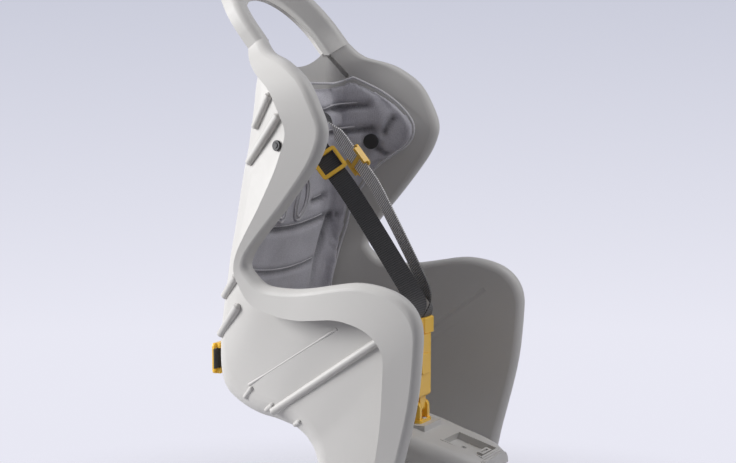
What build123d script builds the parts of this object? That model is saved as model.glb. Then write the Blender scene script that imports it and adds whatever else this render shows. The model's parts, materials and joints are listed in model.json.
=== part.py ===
from build123d import *
import os
from collections import namedtuple
from math import asin, atan2, cos, degrees, hypot, radians, sin, sqrt, tan

# Child seat for a bicycle. X is across the seat, -Y is forward, +Z is up.
# The origin is the middle of the bracket face that sits on the carrier.

# Moulded shell
SHELL_WALL = 4.0
RIM_ROLL_R = 11.0
LIP_FLARE = 6.0
SECTION_STEPS = 2
BEND_STEPS = 4

# Grab handle
HANDLE_INNER_HALF = 68.0
HANDLE_LEG = 20.0
HANDLE_PROUD = 0.2
HANDLE_LAP = 3.0
HAND_HOLE_DROP = 15.0

# Slits beside the top of the back
SLIT_Y = 93.0
SLIT_Z = 525.0
SLIT_LENGTH = 54.0
SLIT_WIDTH = 6.5

# Saddle between the legs
SADDLE_HALF = 58.0
SADDLE_CORNER_R = 15.0
NOSE_PLATE = 4.0
NOSE_EDGE = 2.0
RECESS_Y = -146.0
RECESS_WIDTH = 46.0
RECESS_LENGTH = 52.0
RECESS_WALL = 3.0
RECESS_DEPTH = 8.0
PAN_FRONT_Y = 33.0
CALF_PLATE = 4.0
CALF_CORNER_R = 18.0

# Outer ribs
RIB_R = 5.0
LOW_RIB_R = 2.2
FIN_R = 3.0
RIB_END = 0.6
GROOVE = [(-104, 229), (-30, 174)]
GROOVE_R = 4.0
GROOVE_DEPTH = 1.4

# Liner
PAD_THICK = 10.0
PAD_GAP = 1.8

# Webbing and its sliders
STRAP_WIDTH = 25.0
STRAP_THICK = 1.6
STRAP_GAP = 0.3
SLOT_GAP = 3.0
SHOULDER_X = 36.0
SHOULDER_SLOT_Z = 460.0
SHOULDER_TAIL_Y = 122.5
SHOULDER_LEAN = 50.0
SHOULDER_TWIST = 60.0
TWIST_STEPS = 3
SHOULDER_BEND_R = 18.0
SLIDER_Y = 30.0
SLIDER_Z = 398.0
SLIDER_TRAVEL = 20.0
TAIL_DROP = 60.0
TAIL_BEND_R = 9.0
KEEPER_Z = 426.0
HIP_X = 62.0
HIP_Z = 153.0
HIP_TAIL_Y = 159.0
HIP_SLIDER_X = 84.0
SLIDER_LENGTH = 32.0
SLIDER_BAR = 4.5
REAR_SLIDER_BAR = 6.5
SLIDER_THICK = 3.0
SLIDER_CORNER_R = 4.0

# Buttons that hold the liner to the wings
BUTTON_Y = 51.0
BUTTON_Z = 422.0
BUTTON_R = 10.0
BUTTON_THICK = 4.0
STEM_R = 3.0
STEM_GAP = 0.2
WASHER_R = 6.5
WASHER_THICK = 3.0
WASHER_GAP = 0.3

# Crotch buckle
BUCKLE_Y = -76.0
PIVOT_Z = 97.0
PIN_R = 3.0
PIN_GAP = 0.05
CLEVIS_SEAT_Z = 79.0
CLEVIS_BASE = 4.0
CLEVIS_WIDTH = 32.0
CLEVIS_DEPTH = 22.0
CLEVIS_SCREW_Y = 6.5
EAR_THICK = 6.0
EAR_R = 8.5
CLEVIS_SCREW_R = 2.0
CLEVIS_HEAD = 1.8
NECK_HALF = 7.5
NECK_R = 6.0
NECK_GAP = 0.4
BODY_WIDTH = 40.0
BODY_DEPTH = 18.0
BODY_LOW_Z = 110.0
BODY_TOP_Z = 188.0
BODY_EDGE_R = 5.0
KEY_WIDTH = 22.0
KEY_HEIGHT = 26.0
KEY_Z = 152.0
KEY_CORNER_R = 4.0
KEY_POCKET = 8.0
KEY_TRAVEL = 3.0
KEY_PROUD = 1.5
KEY_GAP = 0.2
TONGUE_THICK = 6.0
TONGUE_BLADE = 14.0
TONGUE_DEPTH = 20.0
TONGUE_GAP = 0.3
TONGUE_HEAD_W = 28.0
TONGUE_HEAD_H = 20.0
TONGUE_HEAD_D = 16.0
TONGUE_X = 14.5
BLADE_X = 9.5
STRAP_SEAT = 7.0
STRAP_SEAT_GAP = 0.8
SHOULDER_SEAT_Y = -79.0
LAP_SEAT_Z = 195.0

# Carrier bracket under the pan
BRACKET_WIDTH = 92.0
BRACKET_LENGTH = 72.0
BRACKET_WINDOW = 36.0
BRACKET_HEIGHT = 30.0
BRACKET_EDGE_R = 9.0
BAR_X = 30.0
BAR_Z = 15.0
BAR_SOCKET_R = 6.1
BRACKET_PLATE = 8.0
SCREW_R = 3.0
SCREW_HEAD_R = 5.0
SCREW_HEAD = 4.0
SCREW_SINK = 0.5
SCREW_KEY_R = 2.3
SCREW_GAP = 0.1
SCREW_X = 10.0
SCREW_Y = 26.0
SCREW_REACH = 16.0
MOUNT_BOX_HALF = 44.0
BOSS_R = 7.0

# Foot cups in the leg shields
FOOT_BOTTOM_Z = -183.0
CALF_Y = -23.0
CUP_IN_X = 64.0
CUP_OUT_X = 132.0
CUP_TOE_Y = -133.0
CUP_SOLE_Z = -140.0
CUP_WALL = 3.0
CUP_HEEL = 46.0
CUP_RIM = 16.0
CUP_CORNER_R = 17.0
CUP_GAP = 0.3
KNOB_R = 14.0
KNOB_THICK = 10.0
KNOB_BOLT_R = 4.0
KNOB_GAP = 0.2
KNOB_RISE = 22.0
KNOB_LOBES = 8
CUP_UP = 40.0
CUP_DOWN = 20.0
FOOT_STRAP_Y = -95.0
FOOT_STRAP_WIDTH = 22.0
FOOT_STRAP_THICK = 2.4
STUD_R = 3.0
STUD_HEAD_R = 5.0
STUD_RISE = 9.0
FOOT_STRAP_RISE = 10.0

# Half widths, corner radius and lip length of the shell in each zone of its rim
Zone = namedtuple("Zone", "root_half rim_half corner_r lip")
POST = Zone(root_half=80.0, rim_half=102.0, corner_r=10.0, lip=12.0)
HEAD = Zone(root_half=104.0, rim_half=149.0, corner_r=40.0, lip=39.0)
WAIST = Zone(root_half=112.0, rim_half=148.0, corner_r=40.0, lip=9.0)
LAP = Zone(root_half=130.0, rim_half=151.0, corner_r=34.0, lip=36.0)
BOW = Zone(root_half=133.0, rim_half=151.0, corner_r=30.0, lip=48.0)
LEG = Zone(root_half=139.0, rim_half=150.0, corner_r=16.0, lip=30.0)


def blend(a, b, share):
    """Zone between zone a and zone b."""
    return Zone(*[p + (q - p) * share for p, q in zip(a, b)])


# Stations from the handle down to the foot, each with its root on the back, pan or calf
# and its rim point, as (y, z) in the side view
STATIONS = [
    (POST, (100, 535), (80, 551)),
    (blend(POST, HEAD, 0.25), (100, 516), (61, 533)),
    (blend(POST, HEAD, 0.7), (102, 492), (27, 521)),
    (blend(POST, HEAD, 0.92), (104, 472), (-4, 499)),
    (HEAD, (107, 453), (-22, 470)),
    (HEAD, (111, 434), (-32, 442)),
    (HEAD, (115, 412), (-26, 417)),
    (blend(HEAD, WAIST, 0.15), (121, 382), (-10, 391)),
    (blend(HEAD, WAIST, 0.5), (127, 335), (25, 348)),
    (blend(HEAD, WAIST, 0.85), (132, 293), (60, 308)),
    (WAIST, (137, 255), (74, 284)),
    (blend(WAIST, LAP, 0.15), (147, 185), (65, 269)),
    (blend(WAIST, LAP, 0.4), (141, 122), (46, 258)),
    (blend(WAIST, LAP, 0.75), (100, 96), (5, 257)),
    (LAP, (65, 90), (-29, 262)),
    (blend(LAP, BOW, 0.4), (37, 84), (-74, 269)),
    (blend(LAP, BOW, 0.8), (25, 79), (-113, 264)),
    (BOW, (17, 74), (-138, 251)),
    (BOW, (11, 67), (-152, 230)),
    (BOW, (4, 56), (-154, 202)),
    (blend(BOW, LEG, 0.4), (-6, 32), (-148, 141)),
    (blend(BOW, LEG, 0.8), (-15, 5), (-136, 88)),
    (LEG, (-21, -20), (-124, 42)),
    (LEG, (CALF_Y, -48), (-116, 0)),
    (LEG, (CALF_Y, -78), (-111, -42)),
    (LEG, (CALF_Y, -112), (-107, -88)),
    (LEG, (CALF_Y, -147), (-104, -135)),
    (LEG, (CALF_Y, FOOT_BOTTOM_Z), (-102, FOOT_BOTTOM_Z)),
]

# Share of the free side wall that the liner covers, from its top station down
PAD_FROM = 2
PAD_RISE = [0.2, 0.5, 0.72, 0.82, 0.78, 0.5, 0.3, 0.3, 0.25, 0.2, 0.15, 0.12, 0.1, 0.1]

# Saddle sections from under the pan to the nose: y, top, half width, low edge
SADDLE = [
    (PAN_FRONT_Y + 5, 86, SADDLE_HALF, 66),
    (12, 87, SADDLE_HALF, 46),
    (-10, 87, SADDLE_HALF, 36),
    (-55, 80, SADDLE_HALF, 34),
    (-85, 73, SADDLE_HALF, 33),
    (-115, 64, SADDLE_HALF - 1, 31),
    (-143, 57, SADDLE_HALF - 4, 29),
    (-163, 51, SADDLE_HALF - 9, 28),
    (-175, 46, SADDLE_HALF - 16, 28),
]

# Lower ends of the straps as centre points, with the share of its twist that a shoulder strap
# keeps and the way that the width of a lap strap runs
SHOULDER_END = [
    ((20, -74, 244), 0.9),
    ((17, -84, 227), 0.5),
    ((14.5, -83, 215), 0.1),
    ((14.5, -79, 207.8), 0),
    ((14.5, -79, 202), 0),
]
LAP_PATH = [
    ((103, HIP_TAIL_Y, HIP_Z), (0, 0, 1)),
    ((70, HIP_TAIL_Y, HIP_Z), (0, 0, 1)),
    ((64.5, HIP_TAIL_Y - 3, HIP_Z), (0, 0, 1)),
    ((HIP_X, HIP_TAIL_Y - 9, HIP_Z), (0, 0, 1)),
    ((HIP_X, 118, HIP_Z), (0, 0, 1)),
    ((48, 60, 168), (0.25, 0, 1)),
    ((28, -6, 187), (1, 0, 0.6)),
    ((14.5, -59, 195), (1, 0, 0)),
    ((14.5, -74, 195), (1, 0, 0)),
]


def glide(a, b, c, d, t):
    """Values between b and c of a smooth run through a, b, c and d."""
    return [
        q + t / 2 * (r - p + t * (2 * p - 5 * q + 4 * r - u + t * (3 * q - p - 3 * r + u)))
        for p, q, r, u in zip(a, b, c, d)
    ]


def smooth_rows(rows, steps):
    """Rows with steps even runs between each two, on smooth curves through them all."""
    rows = [rows[0], *rows, rows[-1]]
    out = []
    for a, b, c, d in zip(rows, rows[1:], rows[2:], rows[3:]):
        out += [glide(a, b, c, d, k / steps) for k in range(steps)]
    return [*out, list(rows[-1])]


def smooth_stations(stations):
    """Closely spaced stations through the chosen ones."""
    rows = smooth_rows([[*zone, *root, *rim] for zone, root, rim in stations], SECTION_STEPS)
    return [(Zone(*r[:4]), r[4:6], r[6:8]) for r in rows]


def ribbon(start, heading, moves, wall):
    """Flat strip of constant wall along tangent lines (length,) and arcs (radius, turn)."""
    left, right = [], []
    x, y = start
    h = radians(heading)
    for move in moves:
        if len(move) == 1:
            nx, ny = x + move[0] * cos(h), y + move[0] * sin(h)
            for side, edges in ((wall / 2, left), (-wall / 2, right)):
                dx, dy = -side * sin(h), side * cos(h)
                edges.append(Edge.make_line((x + dx, y + dy), (nx + dx, ny + dy)))
            x, y = nx, ny
            continue
        radius, turn = move
        way = 1 if turn > 0 else -1
        cx, cy = x - way * radius * sin(h), y + way * radius * cos(h)
        for side, edges in ((wall / 2, left), (-wall / 2, right)):
            r = radius - way * side
            points = []
            for part in (0, 0.5, 1):
                a = h + radians(turn) * part
                points.append((cx + way * r * sin(a), cy - way * r * cos(a)))
            edges.append(Edge.make_three_point_arc(*points))
        h += radians(turn)
        x, y = cx + way * radius * sin(h), cy - way * radius * cos(h)
    cap_end = Edge.make_line(left[-1] @ 1, right[-1] @ 1)
    cap_start = Edge.make_line(right[0] @ 0, left[0] @ 0)
    return Face(Wire([*left, cap_end, *right, cap_start]))


def side_plane(root, rim):
    """Section plane that holds X and the line from a root to its rim point."""
    dy, dz = rim[0] - root[0], rim[1] - root[1]
    return Plane(origin=(0, root[0], root[1]), x_dir=(1, 0, 0), z_dir=(0, -dz, dy))


def across(y):
    """Plane across the seat at y, with local y up."""
    return Plane(origin=(0, y, 0), x_dir=(1, 0, 0), z_dir=(0, -1, 0))


def lengthways(x):
    """Plane along the seat at x, with local x along Y and local y up."""
    return Plane(origin=(x, 0, 0), x_dir=(0, 1, 0), z_dir=(1, 0, 0))


def mirrored(shape):
    """The same piece on the other side of the seat."""
    return mirror(shape, about=Plane.YZ)


def block(x0, x1, y0, y1, z0, z1):
    """Box between two corners."""
    centre = ((x0 + x1) / 2, (y0 + y1) / 2, (z0 + z1) / 2)
    return Pos(*centre) * Box(abs(x1 - x0), abs(y1 - y0), abs(z1 - z0))


def rod(start, end, radius):
    """Round bar from start to end."""
    run = Vector(end) - Vector(start)
    return extrude(Plane(origin=start, z_dir=run) * Circle(radius), amount=run.length)


def wall_lean(zone, reach):
    """Lean of the wall in a section and its distance to the middle of the roll."""
    roll = RIM_ROLL_R - SHELL_WALL / 2
    vx, vy = zone.rim_half - zone.root_half, reach - RIM_ROLL_R
    far = hypot(vx, vy)
    return degrees(atan2(vy, vx) + asin(roll / far)), sqrt(far * far - roll * roll)


def rim_moves(zone, reach, floor):
    """Moves from the floor, round the corner, up the wall, over the roll and down the lip."""
    lean, run = wall_lean(zone, reach)
    trim = zone.corner_r * tan(radians(lean / 2))
    return [
        (zone.root_half - trim - floor,),
        (zone.corner_r, lean),
        (run - trim,),
        (RIM_ROLL_R - SHELL_WALL / 2, LIP_FLARE - 90 - lean),
        (zone.lip,),
    ]


def both_ways(half):
    """Moves of a half strip and its mirror image, joined at the first line."""
    return half[:0:-1] + [(2 * half[0][0],)] + half[1:]


def shell_section(zone, root, rim):
    """Whole strip across the shell from the left lip to the right lip."""
    reach = hypot(rim[0] - root[0], rim[1] - root[1])
    roll = RIM_ROLL_R - SHELL_WALL / 2
    flare = radians(LIP_FLARE)
    end_x = zone.rim_half + roll * cos(flare) + zone.lip * sin(flare)
    end_y = reach - RIM_ROLL_R + roll * sin(flare) - zone.lip * cos(flare)
    moves = both_ways(rim_moves(zone, reach, 0))
    return side_plane(root, rim) * ribbon((-end_x, end_y), 90 - LIP_FLARE, moves, SHELL_WALL)


def pad_section(zone, root, rim, rise):
    """Strip of the liner that lines the floor and climbs the walls by rise."""
    reach = hypot(rim[0] - root[0], rim[1] - root[1])
    inset = SHELL_WALL / 2 + PAD_GAP + PAD_THICK / 2
    lean, run = wall_lean(zone, reach)
    trim = zone.corner_r * tan(radians(lean / 2))
    bend = zone.corner_r - inset
    a = radians(lean)
    end_x = zone.root_half - trim + bend * sin(a) + rise * cos(a)
    end_y = inset + bend * (1 - cos(a)) + rise * sin(a)
    moves = both_ways([(zone.root_half - trim,), (bend, lean), (rise,)])
    return side_plane(root, rim) * ribbon((-end_x, end_y), -lean, moves, PAD_THICK)


def bent(centre, radius, start, stop):
    """Points of a bend in a plane of constant x, angles from down over +Y to up and forward."""
    points = []
    for k in range(BEND_STEPS + 1):
        a = radians(start + (stop - start) * k / BEND_STEPS)
        points.append(centre + Vector(0, radius * sin(a), -radius * cos(a)))
    return points


def webbing(path):
    """Flat strap through centre points, each with the way that its width runs."""
    sections = []
    for k, (point, wide) in enumerate(path):
        ends = path[max(k - 1, 0)][0], point, path[min(k + 1, len(path) - 1)][0]
        legs = [(b - a).normalized() for a, b in zip(ends, ends[1:]) if (b - a).length > 0]
        run = (legs[0] + legs[-1]).normalized()
        wide = Vector(wide).normalized()
        run = (run - wide * run.dot(wide)).normalized()
        flat = (legs[0] - wide * legs[0].dot(wide)).normalized()
        thick = STRAP_THICK / max(flat.dot(run), 0.5)
        plane = Plane(origin=point, x_dir=wide, z_dir=run)
        sections.append(plane * Rectangle(STRAP_WIDTH, thick))
    return loft(sections, ruled=True)


def turned(run, angle):
    """Way that the width of a strap runs when it is turned by angle from lying across the seat."""
    across_seat = Vector(1, 0, 0)
    return across_seat * cos(radians(angle)) - run.cross(across_seat) * sin(radians(angle))


def slider(front, bar):
    """Three-bar slider for one strap: local x across it, y along it, strap in the plane z = 0."""
    inner = STRAP_WIDTH / 2 + STRAP_GAP
    outer = inner + bar
    skin = STRAP_THICK / 2 + STRAP_GAP
    ring = RectangleRounded(2 * outer, SLIDER_LENGTH, SLIDER_CORNER_R)
    ring -= Rectangle(2 * inner, SLIDER_LENGTH - 2 * SLIDER_BAR)
    solid = extrude(Pos(0, 0, skin) * ring, amount=SLIDER_THICK)
    for side in (-1, 1):
        rail = RectangleRounded(bar, SLIDER_LENGTH - 2 * SLIDER_CORNER_R, 1)
        low = Pos(side * (inner + bar / 2), 0, -skin - SLIDER_THICK)
        solid += extrude(low * rail, amount=2 * skin + 2 * SLIDER_THICK)
    solid += block(-outer + 1, outer - 1, -SLIDER_BAR / 2, SLIDER_BAR / 2, -skin - SLIDER_THICK, -skin)
    return front * solid


os.makedirs("parts", exist_ok=True)


def save(shape, name):
    """Writes one piece to its own file."""
    export_step(shape, f"parts/{name}.step")


def save_pair(shape, name):
    """Writes the right piece and its mirror image on the left."""
    save(shape, f"{name}_right")
    save(mirrored(shape), f"{name}_left")


# Shell: one strip across the seat, carried from the handle posts to the feet
tub = loft([shell_section(*station) for station in smooth_stations(STATIONS)])
tub_skin = tub.shells()[0]


def wall_hits(y, z):
    """Inner and outer points of the right side wall on the line along X at y, z."""
    hits = [p for p, _ in tub_skin.find_intersection_points(Axis((0, y, z), (1, 0, 0))) if p.X > 0]
    return sorted(hits, key=lambda p: p.X)[:2]


def wall_plane(y, z):
    """Plane on the outside of the right side wall at y, z, facing away from the seat."""
    here, ahead, above = wall_hits(y, z)[1], wall_hits(y - 5, z)[1], wall_hits(y, z + 5)[1]
    facing = (ahead - here).cross(above - here)
    return Plane(origin=here, z_dir=facing if facing.X > 0 else facing * -1)


post_zone, post_root, post_rim = STATIONS[0]
post_plane = side_plane(post_root, post_rim)
post_reach = hypot(post_rim[0] - post_root[0], post_rim[1] - post_root[1])
post_strip = ribbon(
    (HANDLE_INNER_HALF, 0),
    0,
    rim_moves(post_zone, post_reach, HANDLE_INNER_HALF),
    SHELL_WALL + 2 * HANDLE_PROUD,
)
post_face = post_plane * post_strip
post_rise = post_plane.z_dir * -HANDLE_LEG
post_top = Pos(post_rise) * post_face
arch = revolve(post_top, Axis(post_plane.origin + post_rise, post_plane.y_dir), 180)
post_leg = extrude(post_top, amount=HANDLE_LEG + HANDLE_LAP, dir=post_plane.z_dir)

hole_plane = Plane(origin=post_plane.origin, x_dir=(1, 0, 0), z_dir=post_plane.y_dir)
hole_low = ThreePointArc((-HANDLE_INNER_HALF, 0), (0, -HAND_HOLE_DROP), (HANDLE_INNER_HALF, 0))
hole_top = Polyline(
    (HANDLE_INNER_HALF, 0),
    (HANDLE_INNER_HALF, HANDLE_LAP),
    (-HANDLE_INNER_HALF, HANDLE_LAP),
    (-HANDLE_INNER_HALF, 0),
)
hand_hole = extrude(hole_plane * make_face([hole_low, hole_top]), amount=60, both=True)

# Saddle: an inverted trough from the pan to the nose, with a closed front
saddle_rows = smooth_rows(SADDLE, SECTION_STEPS)


def saddle_section(y, top, half, low):
    """Inverted trough at y."""
    side = top - low - SADDLE_CORNER_R
    moves = both_ways([(half - SADDLE_CORNER_R,), (SADDLE_CORNER_R, -90), (side,)])
    return across(y) * ribbon((-half, low), 90, moves, SHELL_WALL)


saddle = loft([saddle_section(*row) for row in saddle_rows])
nose_y, nose_top, nose_half, nose_low = SADDLE[-1]
nose_high = nose_top - nose_low
nose_face = RectangleRounded(2 * nose_half, 2 * nose_high, SADDLE_CORNER_R)
nose_face &= Pos(0, nose_high + NOSE_EDGE) * Rectangle(2 * nose_half + 1, 2 * nose_high)
nose = extrude(across(nose_y + NOSE_EDGE) * Pos(0, nose_low) * nose_face, amount=NOSE_PLATE + NOSE_EDGE)

# Inner walls of the leg shields
calf_points = [
    (CALF_Y, 56),
    (CALF_Y, FOOT_BOTTOM_Z),
    (CALF_Y - 54, FOOT_BOTTOM_Z),
    (CALF_Y - 46, -80),
    (CALF_Y - 54, 10),
    (-115, 52),
]
calf_outline = make_face(FilletPolyline(*calf_points, radius=CALF_CORNER_R, close=True))
calf_wall = extrude(lengthways(SADDLE_HALF - 1) * calf_outline, amount=CALF_PLATE)

# Skirt and bosses under the pan that the bracket is screwed to
mount_end = BRACKET_LENGTH / 2
mount_top = [(mount_end, 85), (12, 87), (-10, 87), (-mount_end, 83)]


def mount_solid(half, trim, low):
    """Block under the pan whose top follows the slope of the saddle."""
    lid = [(max(trim - mount_end, min(mount_end - trim, y)), z) for y, z in mount_top]
    outline = make_face(Polyline((trim - mount_end, low), (mount_end - trim, low), *lid, close=True))
    return extrude(lengthways(-half) * outline, amount=2 * half)


mount_box = mount_solid(MOUNT_BOX_HALF, 0, BRACKET_HEIGHT)
mount_room = mount_solid(MOUNT_BOX_HALF - SHELL_WALL, SHELL_WALL, BRACKET_HEIGHT - 1)
screw_spots = [(sx * SCREW_X, sy * SCREW_Y) for sx in (-1, 1) for sy in (-1, 1)]
bosses = []
boss_bores = []
for x, y in screw_spots:
    boss = Pos(x, y, BRACKET_HEIGHT) * extrude(Circle(BOSS_R), amount=mount_top[2][1])
    bosses.append(boss & mount_box)
    bore = Circle(SCREW_R + SCREW_GAP)
    boss_bores.append(Pos(x, y, BRACKET_HEIGHT) * extrude(bore, amount=SCREW_REACH + 1))
mount_box -= mount_room

# Seat of the clevis in the top of the saddle
clevis_boss = block(-24, 24, BUCKLE_Y - 20, BUCKLE_Y + 20, CLEVIS_SEAT_Z - 9, CLEVIS_SEAT_Z)
clevis_pocket = block(
    -CLEVIS_WIDTH / 2 - 0.5,
    CLEVIS_WIDTH / 2 + 0.5,
    BUCKLE_Y - CLEVIS_DEPTH / 2 - 0.5,
    BUCKLE_Y + CLEVIS_DEPTH / 2 + 0.5,
    CLEVIS_SEAT_Z,
    CLEVIS_SEAT_Z + 20,
)
clevis_spots = [BUCKLE_Y - CLEVIS_SCREW_Y, BUCKLE_Y + CLEVIS_SCREW_Y]
clevis_bores = []
for y in clevis_spots:
    bore = extrude(Circle(CLEVIS_SCREW_R + SCREW_GAP), amount=12)
    clevis_bores.append(Pos(0, y, CLEVIS_SEAT_Z - 10) * bore)

# Tray in the sloping front of the saddle, with a slot and a moulded tab
slope = Plane(origin=(0, RECESS_Y, 57), x_dir=(1, 0, 0), z_dir=(0, -0.29, 1))
tray_side = RECESS_WIDTH + 2 * RECESS_WALL
tray_long = RECESS_LENGTH + 2 * RECESS_WALL
tray = slope * Pos(0, 0, -RECESS_DEPTH / 2 - 1) * Box(tray_side, tray_long, RECESS_DEPTH + 4)
tray_room = slope * Pos(0, 0, 10 - RECESS_DEPTH) * Box(RECESS_WIDTH, RECESS_LENGTH, 20)
tray_slot = slope * Pos(0, 8, -RECESS_DEPTH) * Box(16, 5, 10)
tab = slope * Pos(0, 6 - RECESS_LENGTH / 2, -RECESS_DEPTH / 2) * Box(26, 8, RECESS_DEPTH + 1)
tab -= slope * Pos(0, 6 - RECESS_LENGTH / 2, 0) * Box(18, 3, 4)

# Raised ribs outside the lap wall and the back, short fins along the lower corner
ribs = []
for (y0, z0), (y1, z1), radius in (
    ((-97, 204), (53, 104), RIB_R),
    ((-38, 211), (89, 132), LOW_RIB_R),
    ((86, 128), (97, 116), FIN_R),
    ((55, 111), (66, 103), FIN_R),
    ((17, 95), (27, 89), FIN_R),
    ((66, 480), (88, 446), RIB_R),
    ((50, 456), (97, 402), RIB_R),
    ((107, 262), (129, 238), RIB_R),
    ((104, 226), (136, 190), RIB_R),
):
    start, end = wall_hits(y0, z0)[1], wall_hits(y1, z1)[1]
    out = radius - SHELL_WALL + 0.8
    first, last = Vector(start.X + out, y0, z0), Vector(end.X + out, y1, z1)
    tip = (last - first).normalized() * radius
    rib = rod(first - tip, last + tip, radius)
    ribs.append(chamfer(rib.edges().filter_by(GeomType.CIRCLE), RIB_END * radius))
groove_start, groove_end = wall_hits(*GROOVE[0])[0], wall_hits(*GROOVE[1])[0]
groove_in = Vector(GROOVE_R - GROOVE_DEPTH, 0, 0)
groove = rod(groove_start - groove_in, groove_end - groove_in, GROOVE_R)

# Openings for the webbing, the buttons and the bolts of the foot cups
shoulder_slot = block(
    SHOULDER_X - STRAP_WIDTH / 2 - SLOT_GAP,
    SHOULDER_X + STRAP_WIDTH / 2 + SLOT_GAP,
    40,
    140,
    SHOULDER_SLOT_Z - SLOT_GAP,
    SHOULDER_SLOT_Z + SLOT_GAP,
)
hip_slot = block(
    HIP_X - SLOT_GAP,
    HIP_X + SLOT_GAP,
    100,
    HIP_TAIL_Y,
    HIP_Z - STRAP_WIDTH / 2 - SLOT_GAP,
    HIP_Z + STRAP_WIDTH / 2 + SLOT_GAP,
)
cup_x = (CUP_IN_X + CUP_OUT_X) / 2
knob_z = CUP_SOLE_Z + KNOB_RISE
knob_track = block(
    cup_x - KNOB_BOLT_R - KNOB_GAP,
    cup_x + KNOB_BOLT_R + KNOB_GAP,
    CALF_Y - 10,
    CALF_Y + 10,
    knob_z - CUP_DOWN - KNOB_BOLT_R - 1,
    knob_z + CUP_UP + KNOB_BOLT_R + 1,
)
button_plane = wall_plane(BUTTON_Y, BUTTON_Z)
stem_hole = extrude(button_plane * Circle(STEM_R + STEM_GAP), amount=30, both=True)

# Slits in the corners between the top of the back and the wings
slit_wall = wall_plane(SLIT_Y, SLIT_Z)
slit_run = Vector(-0.34, 0.58, 0.74)
slit_plane = Plane(origin=slit_wall.origin, x_dir=slit_run, z_dir=slit_wall.z_dir)
slit = extrude(slit_plane * SlotOverall(SLIT_LENGTH, SLIT_WIDTH), amount=12, both=True)

shell = tub - hand_hole
shell -= block(-SADDLE_HALF, SADDLE_HALF, CALF_Y - 10, PAN_FRONT_Y, FOOT_BOTTOM_Z - 1, 95)
for cut in (shoulder_slot, hip_slot, knob_track, stem_hole, slit, groove):
    shell -= [cut, mirrored(cut)]
shell += [arch, post_leg, mirrored(post_leg)]
shell += [saddle, nose, calf_wall, mirrored(calf_wall)]
shell += [mount_box, *bosses, clevis_boss]
shell -= [*boss_bores, clevis_pocket, *clevis_bores]
shell += tray
shell -= [tray_room, tray_slot]
shell += tab
for rib in ribs:
    shell += [rib, mirrored(rib)]
save(shell, "seat_shell")

# Liner: a strip that lines the back, the wings and the pan, open where the webbing passes
pad_rows = []
for (zone, root, rim), share in zip(STATIONS[PAD_FROM:], PAD_RISE):
    lean, run = wall_lean(zone, hypot(rim[0] - root[0], rim[1] - root[1]))
    free = run - zone.corner_r * tan(radians(lean / 2))
    pad_rows.append([*zone, *root, *rim, share * free])
pad_faces = []
for row in smooth_rows(pad_rows, SECTION_STEPS):
    pad_faces.append(pad_section(Zone(*row[:4]), row[4:6], row[6:8], row[8]))
pad = loft(pad_faces)
pad -= block(-150, 150, -50, PAN_FRONT_Y + 9, 60, 130)
for cut in (shoulder_slot, hip_slot, stem_hole):
    pad -= [cut, mirrored(cut)]
save(pad, "seat_pad")

# Buttons of the liner, with a washer on the outside of each wing
pad_front = -(SHELL_WALL + PAD_GAP + PAD_THICK + PAD_GAP)
stem_out = WASHER_THICK + 1
button = extrude(button_plane * Pos(0, 0, pad_front - BUTTON_THICK) * Circle(BUTTON_R), amount=BUTTON_THICK)
button += extrude(button_plane * Pos(0, 0, pad_front) * Circle(STEM_R), amount=stem_out - pad_front)
save_pair(button, "pad_button")
washer = extrude(button_plane * Pos(0, 0, WASHER_GAP) * Circle(WASHER_R), amount=WASHER_THICK)
washer -= extrude(button_plane * Circle(STEM_R + PIN_GAP), amount=20, both=True)
save_pair(washer, "rivet_washer")

# Shoulder straps: tail behind the back, through the slot, past the slider and into the tongue
lean = radians(SHOULDER_LEAN)
down = Vector(0, -cos(lean), -sin(lean))
tip = Vector(SHOULDER_X, SLIDER_Y, SLIDER_Z)
bend_trim = SHOULDER_BEND_R * tan(lean / 2)
bend = tip - down * ((SHOULDER_SLOT_Z - SLIDER_Z) / sin(lean))
across_x = (1, 0, 0)
shoulder_path = [(Vector(SHOULDER_X, SHOULDER_TAIL_Y, SHOULDER_SLOT_Z - TAIL_DROP), across_x)]
tail_turn = Vector(SHOULDER_X, SHOULDER_TAIL_Y - TAIL_BEND_R, SHOULDER_SLOT_Z - TAIL_BEND_R)
shoulder_path += [(p, across_x) for p in bent(tail_turn, TAIL_BEND_R, 90, 180)]
front_turn = bend + Vector(0, bend_trim, -SHOULDER_BEND_R)
shoulder_path += [(p, across_x) for p in bent(front_turn, SHOULDER_BEND_R, 180, 180 + SHOULDER_LEAN)]
slide_reach = SLIDER_LENGTH / 2 + SLIDER_TRAVEL + SLIDER_THICK
twist_from = bend + down * bend_trim
twist_run = tip - down * slide_reach - twist_from
for k in range(1, TWIST_STEPS + 1):
    share = k / TWIST_STEPS
    shoulder_path.append((twist_from + twist_run * share, turned(down, SHOULDER_TWIST * share)))
slider_wide = turned(down, SHOULDER_TWIST)
shoulder_path.append((tip + down * slide_reach, slider_wide))
for point, share in SHOULDER_END:
    run = (Vector(*point) - shoulder_path[-1][0]).normalized()
    shoulder_path.append((Vector(*point), turned(run, SHOULDER_TWIST * share)))
save_pair(webbing(shoulder_path), "shoulder_strap")
slider_face = Plane(origin=tip, x_dir=slider_wide, z_dir=down.cross(slider_wide))
save_pair(slider(slider_face, SLIDER_BAR), "shoulder_slider")
keeper_at = (SHOULDER_X, SHOULDER_TAIL_Y, KEEPER_Z)
keeper_face = Plane(origin=keeper_at, x_dir=(1, 0, 0), z_dir=(0, 1, 0))
save_pair(slider(keeper_face, SLIDER_BAR), "shoulder_keeper")

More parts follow.
